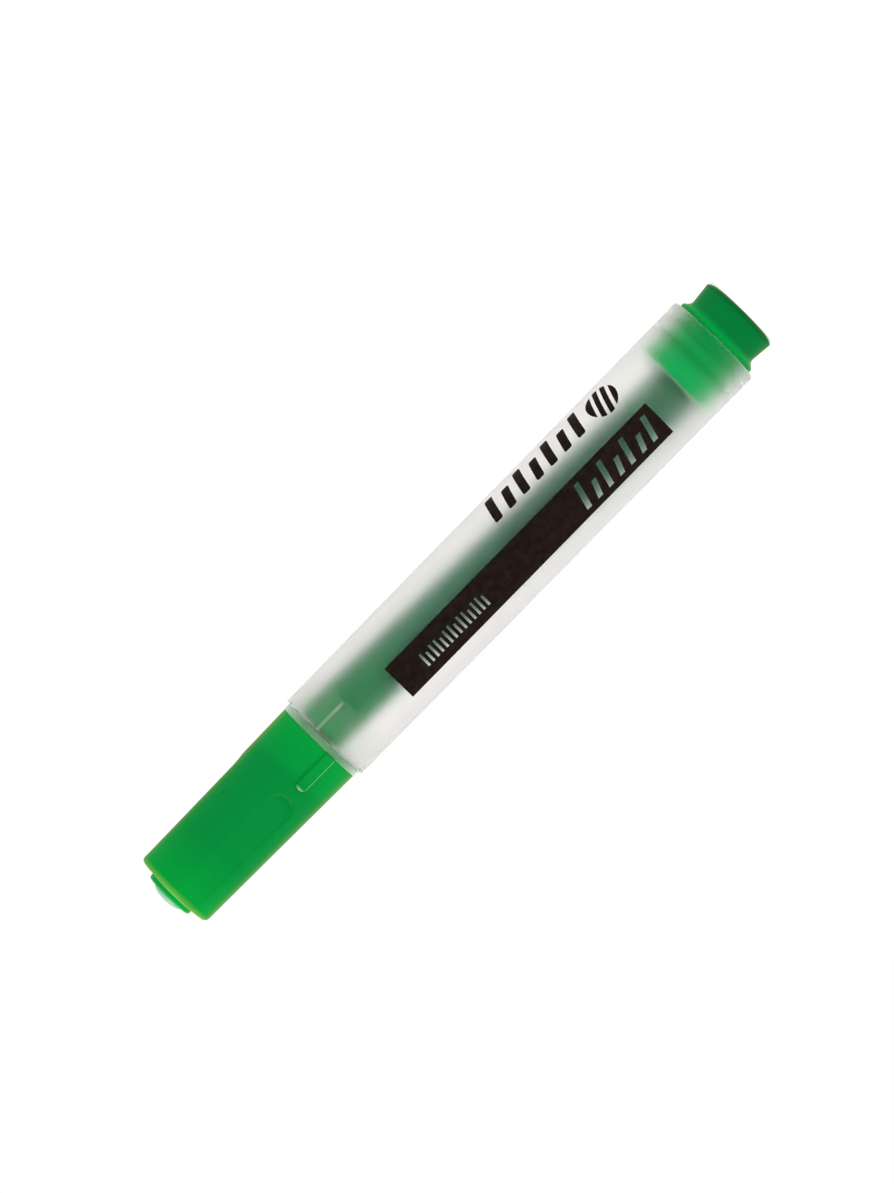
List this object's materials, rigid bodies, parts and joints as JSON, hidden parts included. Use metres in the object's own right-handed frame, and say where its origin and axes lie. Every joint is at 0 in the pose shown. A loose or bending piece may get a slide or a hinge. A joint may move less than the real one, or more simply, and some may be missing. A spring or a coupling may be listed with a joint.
{
  "type": "highlighter pen",
  "caption": "Round capped highlighter with a frosted see-through barrel, ink reservoir, chisel nib, pull-off cap with three grip flats and a rib, and a flat tail plug to stand on.",
  "frame": {"origin": "centre of the tail plug's flat end face, on which the pen stands", "axes": "+Z along the pen from the tail plug to the cap's closed end; -Y is the side with the printed band and the front grip rib"},
  "size_m": [0.0164, 0.0164, 0.124],
  "materials": {
    "frosted_plastic": "frosted translucent polypropylene",
    "plug_green": "satin moulded",
    "natural_plastic": "uncoloured translucent polypropylene",
    "nib_felt": "dense ink-wet felt",
    "inked_fibre": "ink-soaked polyester fibre",
    "reservoir_wrap": "thin clear film",
    "cap_green": "satin moulded",
    "liner_mint": "pale translucent moulded",
    "print_ink": "screen-printed ink film"
  },
  "bodies": {
    "writing_unit": {"barrel": "frosted_plastic", "tail_plug": "plug_green", "nib_holder": "natural_plastic", "nib": "nib_felt", "reservoir_core": "inked_fibre", "reservoir_film": "reservoir_wrap"},
    "cap": {"cap_shell": "cap_green", "cap_liner": "liner_mint"}
  },
  "joints": [
    {"name": "cap_pull", "type": "slide", "parent": "writing_unit", "child": "cap", "axis": [0, 0, 1], "range_m": [0, 0.032]}
  ]
}
